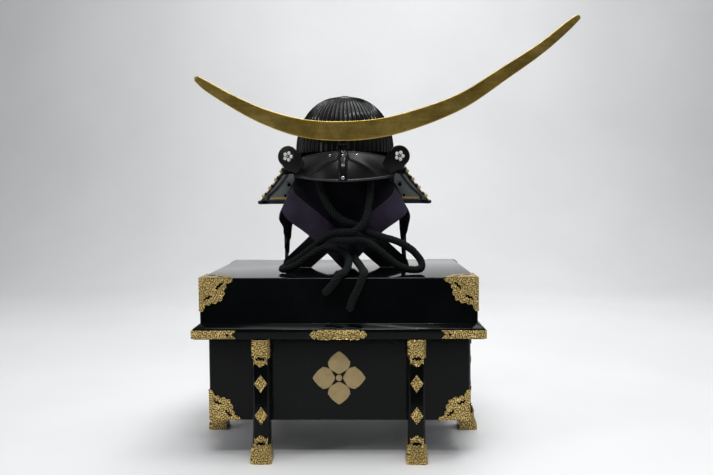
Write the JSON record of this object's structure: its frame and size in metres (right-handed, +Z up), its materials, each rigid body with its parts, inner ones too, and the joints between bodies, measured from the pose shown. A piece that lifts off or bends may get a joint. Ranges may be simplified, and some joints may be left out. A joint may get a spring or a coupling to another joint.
{
  "type": "kabuto samurai helmet on draped stand and lacquered armour chest",
  "caption": "Ribbed samurai helmet with a broad gilt crescent crest, ears and laced neck guard, on a cloth-draped stand with a tied chin cord, on a black lacquered legged chest.",
  "frame": {"origin": "on the floor, under the centre of the part's box", "axes": "+Z up, the front faces -Y, +X to the right as seen from the front"},
  "size_m": [0.8208, 0.481, 0.9195],
  "materials": {
    "black_lacquer": "deep gloss black lacquer on wood",
    "gilt_brass": "chased gilt, satin",
    "gold_leaf": "gold leaf, soft sheen",
    "satin_iron": "black lacquered iron, satin",
    "black_iron": "black lacquered iron",
    "grey_lacquer": "satin lacquer, dark grey inside",
    "dark_leather": "black-brown leather over iron, matt",
    "ivory_paint": "white enamel",
    "green_cord": "braided silk",
    "navy_cloth": "matt dark navy cloth with a purple border",
    "black_wood": "black painted wood",
    "pad_cloth": "plain dark cloth"
  },
  "bodies": {
    "root": {"badge_left": "ivory_paint", "badge_right": "ivory_paint", "base_band": "black_iron", "bowl": "satin_iron", "box_corner_back_left": "gilt_brass", "box_corner_back_right": "gilt_brass", "box_corner_front_left": "gilt_brass", "box_corner_front_right": "gilt_brass", "chest_box": "black_lacquer", "chest_lid": "black_lacquer", "chin_cord_left": "green_cord", "chin_cord_left_end": "green_cord", "chin_cord_right": "green_cord", "chin_cord_right_end": "green_cord", "cloth": "navy_cloth", "crest": "gold_leaf", "crest_holder": "satin_iron", "crown_fitting": "gilt_brass", "ear_left": "dark_leather", "ear_right": "dark_leather", "flange_corner_back_left": "gilt_brass", "flange_corner_back_right": "gilt_brass", "flange_corner_front_left": "gilt_brass", "flange_corner_front_right": "gilt_brass", "flange_plate_back": "gilt_brass", "flange_plate_front": "gilt_brass", "flange_plate_left": "gilt_brass", "flange_plate_right": "gilt_brass", "foot_cap_back_left": "gilt_brass", "foot_cap_back_right": "gilt_brass", "foot_cap_front_left": "gilt_brass", "foot_cap_front_right": "gilt_brass", "foot_cap_side_left": "gilt_brass", "foot_cap_side_right": "gilt_brass", "leg_back_left": "black_lacquer", "leg_back_right": "black_lacquer", "leg_front_left": "black_lacquer", "leg_front_right": "black_lacquer", "leg_side_left": "black_lacquer", "leg_side_right": "black_lacquer", "lid_corner_back_left": "gilt_brass", "lid_corner_back_right": "gilt_brass", "lid_corner_front_left": "gilt_brass", "lid_corner_front_right": "gilt_brass", "neck_lame_1": "grey_lacquer", "neck_lame_2": "grey_lacquer", "neck_lame_3": "grey_lacquer", "neck_lame_4": "grey_lacquer", "neck_lame_5": "grey_lacquer", "stand_board_across": "black_wood", "stand_board_along": "black_wood", "stand_pad": "pad_cloth", "top_cap_back_left": "gilt_brass", "top_cap_back_right": "gilt_brass", "top_cap_front_left": "gilt_brass", "top_cap_front_right": "gilt_brass", "top_cap_side_left": "gilt_brass", "top_cap_side_right": "gilt_brass", "visor": "dark_leather"}
  },
  "joints": []
}
